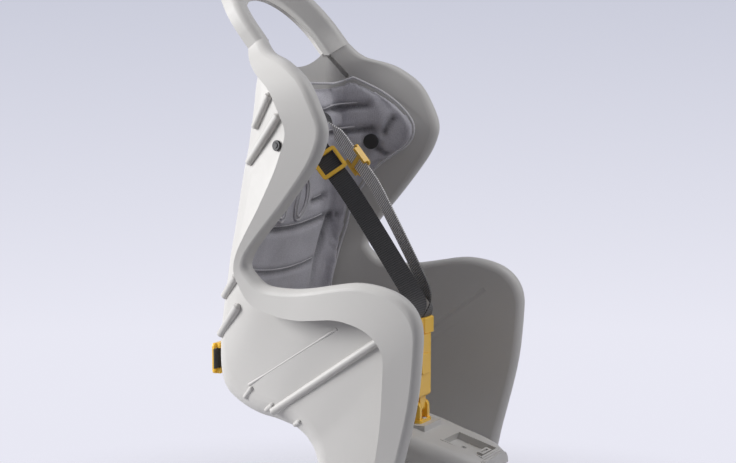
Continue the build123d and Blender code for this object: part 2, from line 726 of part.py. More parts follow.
# Lap straps: tail behind the back, through the hip slot, twisting flat into the tongue
lap_path = [(Vector(*p), w) for p, w in LAP_PATH]
save_pair(webbing(lap_path), "lap_strap")
rear_at = (HIP_SLIDER_X, HIP_TAIL_Y, HIP_Z)
rear_face = Plane(origin=rear_at, x_dir=(0, 0, 1), z_dir=(0, 1, 0))
save_pair(slider(rear_face, REAR_SLIDER_BAR), "rear_slider")

# Tongues: a blade in the housing and a head that takes both strap ends
tongue_low = BODY_TOP_Z + TONGUE_GAP
head_top = tongue_low + TONGUE_HEAD_H
head = extrude(
    Pos(TONGUE_X, BUCKLE_Y, tongue_low) * RectangleRounded(TONGUE_HEAD_W, TONGUE_HEAD_D, 3),
    amount=TONGUE_HEAD_H,
)
head = fillet(head.edges().group_by(Axis.Z)[-1], 2)
head += block(
    BLADE_X - TONGUE_BLADE / 2,
    BLADE_X + TONGUE_BLADE / 2,
    BUCKLE_Y - TONGUE_THICK / 2,
    BUCKLE_Y + TONGUE_THICK / 2,
    BODY_TOP_Z - TONGUE_DEPTH,
    tongue_low + 1,
)
slot_half = STRAP_WIDTH / 2 + STRAP_GAP
slot_thin = STRAP_THICK / 2 + STRAP_SEAT_GAP
head -= block(
    TONGUE_X - slot_half,
    TONGUE_X + slot_half,
    SHOULDER_SEAT_Y - slot_thin,
    SHOULDER_SEAT_Y + slot_thin,
    head_top - STRAP_SEAT,
    head_top + 1,
)
head -= block(
    TONGUE_X - slot_half,
    TONGUE_X + slot_half,
    BUCKLE_Y + TONGUE_HEAD_D / 2 - STRAP_SEAT,
    BUCKLE_Y + TONGUE_HEAD_D / 2 + 1,
    LAP_SEAT_Z - slot_thin,
    LAP_SEAT_Z + slot_thin,
)
save_pair(head, "buckle_tongue")

# Housing of the buckle with its neck on the pin, and the push key in its front
body_mid = (BODY_LOW_Z + BODY_TOP_Z) / 2
body = Pos(0, BUCKLE_Y, body_mid) * Box(BODY_WIDTH, BODY_DEPTH, BODY_TOP_Z - BODY_LOW_Z)
body = fillet(body.edges().filter_by(Axis.Z), BODY_EDGE_R)
body = fillet(body.edges().group_by(Axis.Z)[0], BODY_EDGE_R - 1)
neck_face = Pos(BUCKLE_Y, PIVOT_Z) * Circle(NECK_R)
neck_face += Pos(BUCKLE_Y, (PIVOT_Z + BODY_LOW_Z) / 2 + 1) * Rectangle(2 * NECK_R, BODY_LOW_Z - PIVOT_Z + 2)
body += extrude(lengthways(-NECK_HALF) * neck_face, amount=2 * NECK_HALF)
pin_bore = Pos(BUCKLE_Y, PIVOT_Z) * Circle(PIN_R + PIN_GAP)
body -= extrude(lengthways(-NECK_HALF - 1) * pin_bore, amount=2 * NECK_HALF + 2)
front_y = BUCKLE_Y - BODY_DEPTH / 2
for side in (-1, 1):
    body -= block(
        side * BLADE_X - TONGUE_BLADE / 2 - TONGUE_GAP,
        side * BLADE_X + TONGUE_BLADE / 2 + TONGUE_GAP,
        BUCKLE_Y - TONGUE_THICK / 2 - TONGUE_GAP,
        BUCKLE_Y + TONGUE_THICK / 2 + TONGUE_GAP,
        BODY_TOP_Z - TONGUE_DEPTH - TONGUE_GAP,
        BODY_TOP_Z + 1,
    )
key_hole = RectangleRounded(KEY_WIDTH + 2 * KEY_GAP, KEY_HEIGHT + 2 * KEY_GAP, KEY_CORNER_R + KEY_GAP)
body -= extrude(across(front_y + KEY_POCKET) * Pos(0, KEY_Z) * key_hole, amount=KEY_POCKET + 1)
save(body, "buckle_body")
key_rear = front_y + KEY_POCKET - KEY_TRAVEL - KEY_GAP
key = extrude(
    across(key_rear) * Pos(0, KEY_Z) * RectangleRounded(KEY_WIDTH, KEY_HEIGHT, KEY_CORNER_R),
    amount=key_rear - front_y + KEY_PROUD,
)
key = fillet(key.edges().group_by(Axis.Y)[0], 1)
save(key, "release_button")

# Clevis on the saddle, its pin and its screws
clevis_foot = RectangleRounded(CLEVIS_WIDTH, CLEVIS_DEPTH, 4)
clevis = Pos(0, BUCKLE_Y, CLEVIS_SEAT_Z) * extrude(clevis_foot, amount=CLEVIS_BASE)
ear_face = Pos(BUCKLE_Y, PIVOT_Z) * Circle(EAR_R)
ear_rise = PIVOT_Z - CLEVIS_SEAT_Z - 1
ear_face += Pos(BUCKLE_Y, PIVOT_Z - ear_rise / 2) * Rectangle(2 * EAR_R, ear_rise)
ear_x = NECK_HALF + NECK_GAP
for side in (-1, 1):
    ear = extrude(lengthways(ear_x) * ear_face, amount=EAR_THICK)
    clevis += ear if side > 0 else mirrored(ear)
pin_reach = ear_x + EAR_THICK + 0.5
pin_face = Pos(BUCKLE_Y, PIVOT_Z) * Circle(PIN_R)
clevis -= extrude(lengthways(-pin_reach) * pin_bore, amount=2 * pin_reach)
screw_seat = CLEVIS_SEAT_Z + CLEVIS_BASE
clevis_screws = []
for y in clevis_spots:
    screw_bore = extrude(Circle(CLEVIS_SCREW_R + SCREW_GAP), amount=CLEVIS_BASE + 2)
    clevis -= Pos(0, y, CLEVIS_SEAT_Z - 1) * screw_bore
    shank = Pos(0, y, CLEVIS_SEAT_Z - 9) * extrude(Circle(CLEVIS_SCREW_R), amount=CLEVIS_BASE + 10)
    head = extrude(Circle(2 * CLEVIS_SCREW_R), amount=CLEVIS_HEAD)
    clevis_screws.append(shank + Pos(0, y, screw_seat) * head)
save(clevis, "crotch_clevis")
save(extrude(lengthways(-pin_reach) * pin_face, amount=2 * pin_reach), "clevis_pin")
save(Compound(clevis_screws), "clevis_screws")

# Bracket with two sockets for the carrier bars, and its screws
frame_face = RectangleRounded(BRACKET_WIDTH, BRACKET_HEIGHT, BRACKET_EDGE_R)
frame_face -= RectangleRounded(BRACKET_WINDOW, BRACKET_HEIGHT - 2 * BRACKET_PLATE, 3)
for side in (-1, 1):
    frame_face -= Pos(side * BAR_X, 0) * Circle(BAR_SOCKET_R)
bracket = extrude(across(BRACKET_LENGTH / 2) * Pos(0, BAR_Z) * frame_face, amount=BRACKET_LENGTH)
screws = []
screw_length = BRACKET_HEIGHT + SCREW_REACH - SCREW_SINK
for x, y in screw_spots:
    bracket -= Pos(x, y, -1) * extrude(Circle(SCREW_R + SCREW_GAP), amount=BRACKET_HEIGHT + 2)
    bracket -= Pos(x, y, -1) * extrude(Circle(SCREW_HEAD_R + SCREW_GAP), amount=SCREW_SINK + SCREW_HEAD + 1)
    screw = Pos(x, y, SCREW_SINK) * extrude(Circle(SCREW_HEAD_R), amount=SCREW_HEAD)
    screw += Pos(x, y, SCREW_SINK) * extrude(Circle(SCREW_R), amount=screw_length)
    screw -= Pos(x, y, SCREW_SINK) * extrude(RegularPolygon(SCREW_KEY_R, 6), amount=SCREW_HEAD - 1.5)
    screws.append(screw)
save(bracket, "carrier_bracket")
save(Compound(screws), "bracket_screws")

# Foot cups: a tray with a high heel, held by a clamp knob through the track of the leg shield
cup_back = CALF_Y - SHELL_WALL / 2 - CUP_GAP
cup_long = cup_back - CUP_TOE_Y
cup_wide = CUP_OUT_X - CUP_IN_X
cup_mid = Pos(cup_x, (cup_back + CUP_TOE_Y) / 2, CUP_SOLE_Z)
cup = cup_mid * extrude(RectangleRounded(cup_wide, cup_long, CUP_CORNER_R), amount=CUP_HEEL)
room = RectangleRounded(cup_wide - 2 * CUP_WALL, cup_long - 2 * CUP_WALL, CUP_CORNER_R - CUP_WALL)
cup -= cup_mid * Pos(0, 0, CUP_WALL) * extrude(room, amount=CUP_HEEL)
rim_points = [
    (cup_back - 24, CUP_SOLE_Z + CUP_HEEL + 1),
    (cup_back - 46, CUP_SOLE_Z + CUP_RIM),
    (CUP_TOE_Y - 1, CUP_SOLE_Z + CUP_RIM),
    (CUP_TOE_Y - 1, CUP_SOLE_Z + CUP_HEEL + 1),
]
cup -= extrude(lengthways(CUP_IN_X - 1) * make_face(Polyline(*rim_points, close=True)), amount=cup_wide + 2)
for k in range(-2, 3):
    cup += block(
        CUP_IN_X + 10,
        CUP_OUT_X - 10,
        cup_mid.position.Y + 14 * k - 2,
        cup_mid.position.Y + 14 * k + 2,
        CUP_SOLE_Z + CUP_WALL - 1,
        CUP_SOLE_Z + CUP_WALL + 1,
    )
stud_z = CUP_SOLE_Z + STUD_RISE
stud_line = Plane(origin=(cup_x, FOOT_STRAP_Y, stud_z), z_dir=(1, 0, 0))
stud_bore = extrude(stud_line * Circle(STUD_R + PIN_GAP), amount=cup_wide, both=True)
cup -= stud_bore
bolt_hole = Pos(cup_x, knob_z) * Circle(KNOB_BOLT_R + PIN_GAP)
cup -= extrude(across(cup_back + 1) * bolt_hole, amount=CUP_WALL + 2)
save_pair(cup, "footrest")
knob_front = CALF_Y + SHELL_WALL / 2 + CUP_GAP
knob_face = Circle(KNOB_R)
for k in range(KNOB_LOBES):
    turn = radians(360 / KNOB_LOBES * k)
    knob_face -= Pos((KNOB_R + 2) * cos(turn), (KNOB_R + 2) * sin(turn)) * Circle(4)
knob = extrude(across(knob_front + KNOB_THICK) * Pos(cup_x, knob_z) * knob_face, amount=KNOB_THICK)
bolt_reach = knob_front - cup_back + CUP_WALL + 1
knob += extrude(across(knob_front + 1) * Pos(cup_x, knob_z) * Circle(KNOB_BOLT_R), amount=bolt_reach + 1)
save_pair(knob, "footrest_knob")

# Straps over the feet and the studs that hold them
strap_half = cup_wide / 2 - CUP_WALL - FOOT_STRAP_THICK / 2 - 2 * CUP_GAP
foot_face = ribbon(
    (cup_x - strap_half, CUP_SOLE_Z + CUP_WALL + 1.5),
    90,
    [(FOOT_STRAP_RISE,), (strap_half, -180), (FOOT_STRAP_RISE,)],
    FOOT_STRAP_THICK,
)
foot_strap_rear = across(FOOT_STRAP_Y + FOOT_STRAP_WIDTH / 2)
foot_strap = extrude(foot_strap_rear * foot_face, amount=FOOT_STRAP_WIDTH, dir=(0, -1, 0))
foot_strap -= stud_bore
save_pair(foot_strap, "foot_strap")
stud_in = strap_half - FOOT_STRAP_THICK / 2 - CUP_GAP
studs = []
for way in (-1, 1):
    line = Plane(origin=(cup_x, FOOT_STRAP_Y, stud_z), z_dir=(way, 0, 0))
    stud = extrude(line * Pos(0, 0, stud_in - 2) * Circle(STUD_HEAD_R), amount=2)
    stud += extrude(line * Pos(0, 0, stud_in - 1) * Circle(STUD_R), amount=cup_wide / 2 - stud_in + 1.5)
    studs.append(stud)
save_pair(Compound(studs), "foot_strap_studs")
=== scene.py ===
"""Looks of a child bicycle seat: moulded shell, quilted liner, webbing harness and yellow buckle."""
import json
from math import cos, exp, hypot, pi, radians, sin

import bmesh
import bpy
from bpy.props import FloatProperty, FloatVectorProperty, PointerProperty
from mathutils import Matrix, Vector, noise as field
from mathutils.bvhtree import BVHTree


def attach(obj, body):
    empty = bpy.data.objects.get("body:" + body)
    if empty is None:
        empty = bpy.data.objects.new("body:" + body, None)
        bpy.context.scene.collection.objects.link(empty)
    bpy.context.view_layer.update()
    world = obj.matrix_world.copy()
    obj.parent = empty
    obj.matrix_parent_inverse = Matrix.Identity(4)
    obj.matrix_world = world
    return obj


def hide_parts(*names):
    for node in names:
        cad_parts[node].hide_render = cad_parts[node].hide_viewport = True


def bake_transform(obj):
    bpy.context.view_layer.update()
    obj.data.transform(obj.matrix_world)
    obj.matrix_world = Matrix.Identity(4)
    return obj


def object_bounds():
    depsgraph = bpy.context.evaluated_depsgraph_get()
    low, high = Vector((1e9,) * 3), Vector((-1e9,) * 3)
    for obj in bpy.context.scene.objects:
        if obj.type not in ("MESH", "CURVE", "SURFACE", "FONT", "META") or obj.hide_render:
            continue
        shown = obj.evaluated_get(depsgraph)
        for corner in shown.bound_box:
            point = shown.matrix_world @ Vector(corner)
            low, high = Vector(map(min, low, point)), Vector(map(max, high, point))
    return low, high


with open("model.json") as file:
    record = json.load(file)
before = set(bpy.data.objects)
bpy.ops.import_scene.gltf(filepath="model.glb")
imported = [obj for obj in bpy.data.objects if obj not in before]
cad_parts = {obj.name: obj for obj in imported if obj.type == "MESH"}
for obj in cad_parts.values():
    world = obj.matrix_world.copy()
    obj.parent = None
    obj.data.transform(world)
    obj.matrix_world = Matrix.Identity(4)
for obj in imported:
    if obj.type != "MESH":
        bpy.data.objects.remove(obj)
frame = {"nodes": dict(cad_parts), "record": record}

CAD_BOX = [list(corner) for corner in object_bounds()]

bl_info = {
    "name": "Child bicycle seat",
    "version": (1, 0, 0),
    "blender": (4, 5, 0),
    "location": "3D View > Sidebar > Child seat",
    "description": "Finishes the moulded shell, liner, harness and stage of a child bicycle seat",
    "category": "Object",
}


def tint(name, description, default):
    """Colour that a user may change."""
    return FloatVectorProperty(
        name=name, description=description, subtype="COLOR", size=3, min=0, max=1, default=default
    )


def length(name, description, default):
    """Length in metres that a user may change."""
    return FloatProperty(
        name=name, description=description, unit="LENGTH", min=0, precision=4, default=default
    )


class SeatColours(bpy.types.PropertyGroup):
    """Colours of the seat's finishes."""

    shell: tint("Shell", "Warm grey of the moulded shell and foot cups", (0.61, 0.597, 0.578))
    liner: tint("Liner", "Grey cloth of the quilted liner", (0.56, 0.55, 0.6))
    # The piping colour also paints the highlight along the welts
    piping: tint("Piping", "Bound edge of the liner", (0.62, 0.61, 0.64))
    webbing: tint("Webbing", "Charcoal face of the harness webbing", (0.028, 0.027, 0.027))
    # Painted sheen: the back's pale colour stands for light glancing off the dark ribbed webbing
    webbing_back: tint("Webbing back", "Back of the harness webbing, painted pale as sheen", (0.72, 0.71, 0.7))
    buckle: tint("Buckle", "Yellow of the buckle and sliders", (1, 0.6, 0.06))
    black: tint("Black plastic", "Buttons, washers, knobs and bracket", (0.018, 0.018, 0.019))
    rubber: tint("Foot rubber", "Soft straps over the feet", (0.045, 0.045, 0.047))
    steel: tint("Steel", "Pin and screws", (0.56, 0.56, 0.57))
    paper: tint("Backdrop", "Pale floor under the seat", (0.7, 0.7, 0.74))


class SeatSizes(bpy.types.PropertyGroup):
    """Sizes of the soft pieces."""

    voxel: length("Liner mesh", "Mesh size of the liner before it is puffed", 0.0039)
    shrink: length("Liner shrink", "How much smaller the liner starts", 0.001)
    puff: length("Liner puff", "Furthest that the filling moves the cloth", 0.006)
    clear: length("Liner clearance", "Gap kept between the liner and the shell", 0.0006)
    seam: length("Seam depth", "Depth of the sewn channels", 0.0062)
    seam_width: length("Seam width", "Half width of the sewn channels", 0.0045)
    crumple: length("Crumples", "Height of the soft crumples in the liner", 0.0016)
    piping: length("Piping", "Radius of the liner's bound edge", 0.0017)
    welt: length("Welts", "Radius of the raised seams across the liner", 0.0011)
    strap_width: length("Webbing width", "Width of the harness webbing", 0.025)
    strap_thick: length("Webbing thickness", "Thickness of the harness webbing", 0.0016)
    edge: length("Edge rounding", "Rounding of the edges of small mouldings", 0.0009)
    buckle_edge: length("Buckle rounding", "Rounding of the edges of the buckle", 0.0024)
    slider_edge: length("Slider rounding", "Rounding of the edges of the sliders and keepers", 0.0016)
    crease: length("Wall creases", "Radius of the low creases on the outer lap walls", 0.0021)
    pocket: length("Slit pockets", "Depth of the blind pockets behind the wing slits", 0.007)


# Sewn channels across the back: height, where they start and end sideways, furthest forward that they reach
BACK_SEAMS = [
    (0.456, 0, 0.138, 0.042),
    (0.424, 0, 0.138, 0.036),
    (0.338, 0.048, 0.092, 0.07),
    (0.31, 0, 0.097, 0.07),
    (0.254, 0, 0.085, 0.07),
]
# Short channels that set off the wing flaps, as (y, z) of both ends
FLAP_SEAMS = [((0.019, 0.451), (0.031, 0.431)), ((0.043, 0.413), (0.017, 0.394))]
# Channels along the side bolsters, as (x, z) of both ends
BOLSTER_SEAMS = [((0.098, 0.322), (0.085, 0.265)), ((0.085, 0.265), (0.082, 0.185))]
# How far the channels across the back rise at a given way from the middle, and how their ends fade
SEAM_SAG = 0.012
SAG_AT = 0.1
SEAM_FADE = 0.01
# The flaps' channels lie further out than this and are this share of the width of the others
FLAP_FROM = 0.088
FLAP_SHARE = 0.8
# Only faces turned to the front more than this take the bolsters' channels
BOLSTER_TURN = -0.2
# Cloth nearer to the shell than this is held down, and is free a little further off
HELD_DEPTH = 0.006
HELD_FADE = 0.004
CRUMPLES = 34.0
PRESSURE = 4
PUFF_STEPS = 20
# Piping runs along edges of the liner that are sharper than this and clear of the shell
BORDER_ANGLE = radians(50)
BORDER_CLEAR = 0.0075
WELT_STEP = 0.01
# Blind slits in the corners of the wings: lower end, way along and way outwards
WING_SLIT = ((0.10256, 0.08157, 0.50773), (-0.49, 0.482, 0.728), (0.791, 0.596, 0.138))
WING_SLIT_RUN = 0.0455
WING_SLIT_HALF = 0.0036
POCKET_START = 0.0015
POCKET_WALL = 0.0012
# Low crease on each outer lap wall, as (y, z) of both ends, and how deep its middle lies, in radii
WALL_CREASE = ((-0.034, 0.2085), (0.084, 0.1351))
CREASE_SINK = 0.85
CREASE_POINTS = 24
# Bound slits in the back of the liner: x, z, half width, half height, lean
SLIT = (0.027, 0.347, 0.0105, 0.025, 0.45)
SLIT_RINGS = (1.0, 1.55)
SLIT_POINTS = 16
SLIT_SHEAR = 0.5
# Piping of the slits: lift off the cloth and thickness as shares of the liner's piping
SLIT_LIFT = 0.8
SLIT_THIN = 0.9
# Rays that look for a surface start this far out sideways or in front
RAY_SIDE = 0.4
RAY_FRONT = -0.1

# Centre points of the webbing, right side, with the way that its width runs
SHOULDER_RUN = [
    ((0.036, 0.1225, 0.402), (1, 0, 0)),
    ((0.036, 0.1225, 0.446), (1, 0, 0)),
    ((0.036, 0.1195, 0.457), (1, 0, 0)),
    ((0.036, 0.1105, 0.4603), (1, 0, 0)),
    ((0.036, 0.0904, 0.46), (1, 0, 0)),
    ((0.036, 0.0835, 0.4586), (1, 0, 0)),
    ((0.036, 0.0766, 0.4536), (1, 0, 0)),
    ((0.036, 0.0694, 0.445), (0.94, 0.262, -0.22)),
    ((0.036, 0.0623, 0.4365), (0.766, 0.492, -0.413)),
    ((0.036, 0.0551, 0.4279), (0.5, 0.663, -0.557)),
    ((0.036, 0.03, 0.398), (0.5, 0.663, -0.557)),
    ((0.036, 0.0049, 0.3681), (0.5, 0.663, -0.557)),
    ((0.0307, -0.0225, 0.327), (0.53, 0.668, -0.515)),
    ((0.0253, -0.0505, 0.283), (0.56, 0.673, -0.473)),
    ((0.02, -0.0745, 0.244), (0.588, 0.679, -0.431)),
    ((0.017, -0.0837, 0.227), (0.866, 0.426, -0.25)),
    ((0.0147, -0.0828, 0.215), (0.995, 0.1, 0)),
    ((0.0145, -0.079, 0.2078), (1, 0, 0)),
    ((0.0145, -0.079, 0.202), (1, 0, 0)),
]
LAP_RUN = [
    ((0.102, 0.159, 0.153), (0, 0, 1)),
    ((0.071, 0.159, 0.153), (0, 0, 1)),
    ((0.0645, 0.156, 0.153), (0, 0, 1)),
    ((0.062, 0.15, 0.153), (0, 0, 1)),
    ((0.062, 0.118, 0.153), (0, 0, 1)),
    ((0.0558, 0.091, 0.159), (0.1, 0, 1)),
    ((0.048, 0.06, 0.168), (0.25, 0, 1)),
    ((0.0385, 0.028, 0.1775), (0.6, 0, 0.95)),
    ((0.028, -0.006, 0.187), (1, 0, 0.6)),
    ((0.0205, -0.034, 0.192), (1, 0, 0.25)),
    ((0.0145, -0.059, 0.195), (1, 0, 0)),
    ((0.0145, -0.074, 0.195), (1, 0, 0)),
]
# Points of the runs that bound the stretch where the real webbing bends when the buckle swings
SHOULDER_BEND = (11, 17)
LAP_BEND = (6, 10)
RUN_STEP = 0.004
WEB_ACROSS = 8
RIB_PITCH = 0.0027
YARNS = 46.0
SELVAGE = 0.88
# Stretch of the webbing, from its upper end, over which painted sheen and painted shade fade in: the face
# grows lighter and the back darker further along
PAINTED_LIGHT_FROM = 0.24
PAINTED_LIGHT_TO = 0.38
FOOT_STRAP_EDGE = 0.0007

# Points of the CAD meshes nearer than this are joined
JOIN_DIST = 2e-5
SHARP_ANGLE = 40
STRAP_ANGLE = 50
TUBE_ROUND = 3

# Lamps as name, place, target, size and power
LAMPS = [
    ("key lamp", (-1.3, 1.9, 1.15), (0, 0, 0.25), 1.2, 73),
    ("front lamp", (1.1, -2.0, 1.2), (0, 0.05, 0.35), 1.4, 8),
    ("top lamp", (0.25, -1.1, 2.2), (0, -0.1, 0.1), 1.2, 18),
]
CAMERA_PLACE = (-1.58225, -0.8463, 0.48139)
CAMERA_TARGET = (0, -0.005, 0.312)
CAMERA_LENS = 70.43
CAMERA_SENSOR = 36
FLOOR_RADIUS = 1.5
FLOOR_DROP = 0.0005
FLOOR_FADE = {"From Min": 0.45, "From Max": 1.05, "To Min": 1.0, "To Max": 0.0}
BACKDROP_FADE = {"From Min": -0.16, "From Max": 0.09}
BACKDROP_LOW = (0.81, 0.81, 0.9, 1)
BACKDROP_HIGH = (0.575, 0.59, 0.69, 1)
DIM_COLOUR = (0.86, 0.86, 0.93, 1)
DIM_STRENGTH = 0.17


def colours():
    """Colours set in the panel."""
    return bpy.context.scene.seat_colours


def sizes():
    """Sizes set in the panel."""
    return bpy.context.scene.seat_sizes


def add_object(name, data):
    """Object with that mesh, curve, lamp or camera in the scene."""
    made = bpy.data.objects.new(name, data)
    bpy.context.scene.collection.objects.link(made)
    return made


def finish_mesh(bm, name, crease=None):
    """Smooth mesh from a bmesh, with sharp edges where faces meet at more than crease degrees."""
    mesh = bpy.data.meshes.new(name)
    bm.to_mesh(mesh)
    bm.free()
    mesh.shade_smooth()
    if crease:
        mesh.set_sharp_from_angle(angle=radians(crease))
    return mesh


def merged_copy(node):
    """Editable copy of a CAD node's mesh with its loose triangles joined."""
    bm = bmesh.new()
    bm.from_mesh(frame["nodes"][node].data)
    bmesh.ops.remove_doubles(bm, verts=bm.verts, dist=JOIN_DIST)
    bm.normal_update()
    return bm


def baked(obj):
    """Mesh of an object with its modifiers applied."""
    graph = bpy.context.evaluated_depsgraph_get()
    graph.update()
    return bpy.data.meshes.new_from_object(obj.evaluated_get(graph))


def settle(obj, mesh):
    """Gives an object its baked mesh and takes the modifiers off."""
    old = obj.data
    obj.modifiers.clear()
    obj.data = mesh
    mesh.name = old.name
    bpy.data.meshes.remove(old)


def smooth_run(points, step):
    """Closely spaced rows of numbers on a smooth curve through the given rows."""
    rows = [points[0], *points, points[-1]]
    out = []
    for a, b, c, d in zip(rows, rows[1:], rows[2:], rows[3:]):
        span = hypot(*[q - p for p, q in zip(b[:3], c[:3])])
        count = max(2, round(span / step))
        for k in range(count):
            t = k / count
            out.append([
                q + t / 2 * (r - p + t * (2 * p - 5 * q + 4 * r - s + t * (3 * q - p - 3 * r + s)))
                for p, q, r, s in zip(a, b, c, d)
            ])
    return [*out, list(points[-1])]


# Shader node groups


def new_group(name, inputs, outputs):
    """Empty shader group with its sockets, and its input and output nodes."""
    tree = bpy.data.node_groups.new(name, "ShaderNodeTree")
    for label, kind, value in inputs:
        socket = tree.interface.new_socket(label, in_out="INPUT", socket_type=kind)
        if value is not None:
            socket.default_value = value
    for label, kind in outputs:
        tree.interface.new_socket(label, in_out="OUTPUT", socket_type=kind)
    return tree, tree.nodes.new("NodeGroupInput"), tree.nodes.new("NodeGroupOutput")


def node(tree, kind, **values):
    """Node with its properties and unlinked inputs set."""
    made = tree.nodes.new(kind)
    for key, value in values.items():
        if key in made.inputs:
            made.inputs[key].default_value = value
        else:
            setattr(made, key, value)
    return made


def sums(tree, operation, first, second):
    """Math node on two sockets or numbers."""
    made = tree.nodes.new("ShaderNodeMath")
    made.operation = operation
    for socket, value in zip(made.inputs, (first, second)):
        if isinstance(value, (int, float)):
            socket.default_value = value
        elif value is not None:
            tree.links.new(value, socket)
    return made.outputs[0]


def shade(tree, colour, factor):
    """Colour multiplied by a grey factor."""
    mix = tree.nodes.new("ShaderNodeMix")
    mix.data_type = "RGBA"
    mix.blend_type = "MULTIPLY"
    mix.inputs[0].default_value = 1
    tree.links.new(colour, mix.inputs[6])
    tree.links.new(factor, mix.inputs[7])
    return mix.outputs[2]


def ripple(tree, value, rate):
    """Sine of a value, brought to the range from 0 to 1."""
    wave = sums(tree, "SINE", sums(tree, "MULTIPLY", value, rate), None)
    made = sums(tree, "MULTIPLY_ADD", wave, 0.5)
    made.node.inputs[2].default_value = 0.5
    return made


def noise(tree, place, scale, detail):
    """Noise value at a place."""
    made = node(tree, "ShaderNodeTexNoise", Scale=scale, Detail=detail)
    tree.links.new(place, made.inputs["Vector"])
    return made.outputs["Fac"]


COLOUR, VALUE, VECTOR = "NodeSocketColor", "NodeSocketFloat", "NodeSocketVector"


def moulded_grain():
    """Fine spark-eroded grain with faint patches and scuffs of a plastic moulding."""
    tree, given, out = new_group(
        "moulded grain",
        [
            ("Place", VECTOR, None),
            ("Colour", COLOUR, (1, 1, 1, 1)),
            ("Patches", VALUE, 0.06),
            ("Roughness", VALUE, 0.45),
        ],
        [("Colour", COLOUR), ("Roughness", VALUE), ("Height", VALUE)],
    )
    place = given.outputs["Place"]
    broad = noise(tree, place, 11.0, 3.0)
    fine = noise(tree, place, 1400.0, 1.0)
    scuff = noise(tree, place, 160.0, 4.0)
    swing = sums(tree, "MULTIPLY", sums(tree, "SUBTRACT", broad, 0.5), given.outputs["Patches"])
    colour = shade(tree, given.outputs["Colour"], sums(tree, "ADD", swing, 1.0))
    tree.links.new(colour, out.inputs["Colour"])
    rough = sums(tree, "MULTIPLY", sums(tree, "SUBTRACT", scuff, 0.5), 0.22)
    tree.links.new(sums(tree, "ADD", rough, given.outputs["Roughness"]), out.inputs["Roughness"])
    tree.links.new(fine, out.inputs["Height"])
    return tree


def quilted_cloth():
    """Close plain weave with a heathered yarn and soft handling marks, and painted shade in the sewn
    channels.
    """
    tree, given, out = new_group(
        "quilted cloth",
        [("Place", VECTOR, None), ("Colour", COLOUR, (1, 1, 1, 1)), ("Sewn", VALUE, 0)],
        [("Colour", COLOUR), ("Height", VALUE)],
    )
    place = given.outputs["Place"]
    threads = []
    for way in ("X", "Z"):
        wave = node(tree, "ShaderNodeTexWave", Scale=430.0, Distortion=0.6, bands_direction=way)
        wave.inputs["Detail Scale"].default_value = 3.0
        tree.links.new(place, wave.inputs["Vector"])
        threads.append(wave.outputs["Fac"])
    weave = sums(tree, "ADD", threads[0], threads[1])
    yarn = noise(tree, place, 620.0, 2.0)
    marks = noise(tree, place, 24.0, 3.0)
    tone = sums(tree, "ADD", sums(tree, "MULTIPLY", yarn, 0.5), sums(tree, "MULTIPLY", marks, 0.34))
    tone = sums(tree, "ADD", tone, sums(tree, "MULTIPLY", weave, 0.04))
    # Painted shade: the colour darkens where the sewn channels pull the cloth in
    tone = sums(tree, "SUBTRACT", tone, sums(tree, "MULTIPLY", given.outputs["Sewn"], 0.6))
    colour = shade(tree, given.outputs["Colour"], sums(tree, "ADD", tone, 0.55))
    tree.links.new(colour, out.inputs["Colour"])
    tree.links.new(sums(tree, "ADD", weave, yarn), out.inputs["Height"])
    return tree


def ribbed_webbing():
    """Cross ribs and selvages of narrow webbing, from how far along and across the strap a point is, with
    painted sheen and shade that fade in along the strap.
    """
    tree, given, out = new_group(
        "ribbed webbing",
        [
            ("Along", VALUE, 0),
            ("Across", VALUE, 0),
            ("Place", VECTOR, None),
            ("Colour", COLOUR, (1, 1, 1, 1)),
            ("Contrast", VALUE, 0.5),
            ("Painted light", VALUE, 0),
        ],
        [("Colour", COLOUR), ("Height", VALUE)],
    )
    rib = ripple(tree, given.outputs["Along"], 2 * pi / RIB_PITCH)
    yarn = ripple(tree, given.outputs["Across"], YARNS)
    edge = sums(tree, "GREATER_THAN", sums(tree, "ABSOLUTE", given.outputs["Across"], None), SELVAGE)
    dust = noise(tree, given.outputs["Place"], 700.0, 2.0)
    weave = sums(tree, "ADD", rib, sums(tree, "MULTIPLY", yarn, 0.35))
    tone = sums(tree, "MULTIPLY", sums(tree, "SUBTRACT", weave, 0.6), given.outputs["Contrast"])
    tone = sums(tree, "ADD", tone, sums(tree, "MULTIPLY", dust, 0.5))
    tone = sums(tree, "ADD", tone, sums(tree, "MULTIPLY", edge, 0.12))
    # Painted light along the strap: past a stretch, the painted light input scales the colour, lighter on the
    # face as sheen and darker on the back as shade
    painted_light_ramp = node(tree, "ShaderNodeMapRange", **{"From Min": PAINTED_LIGHT_FROM, "From Max": PAINTED_LIGHT_TO})
    tree.links.new(given.outputs["Along"], painted_light_ramp.inputs["Value"])
    kept = sums(tree, "SUBTRACT", 1.0, sums(tree, "MULTIPLY", painted_light_ramp.outputs["Result"], given.outputs["Painted light"]))
    tone = sums(tree, "MULTIPLY", sums(tree, "ADD", tone, 0.75), kept)
    tree.links.new(shade(tree, given.outputs["Colour"], tone), out.inputs["Colour"])
    tree.links.new(sums(tree, "ADD", weave, sums(tree, "MULTIPLY", edge, 0.4)), out.inputs["Height"])
    return tree


def shared(maker):
    """A node group, made once."""
    name = maker.__name__.replace("_", " ")
    return bpy.data.node_groups.get(name) or maker()


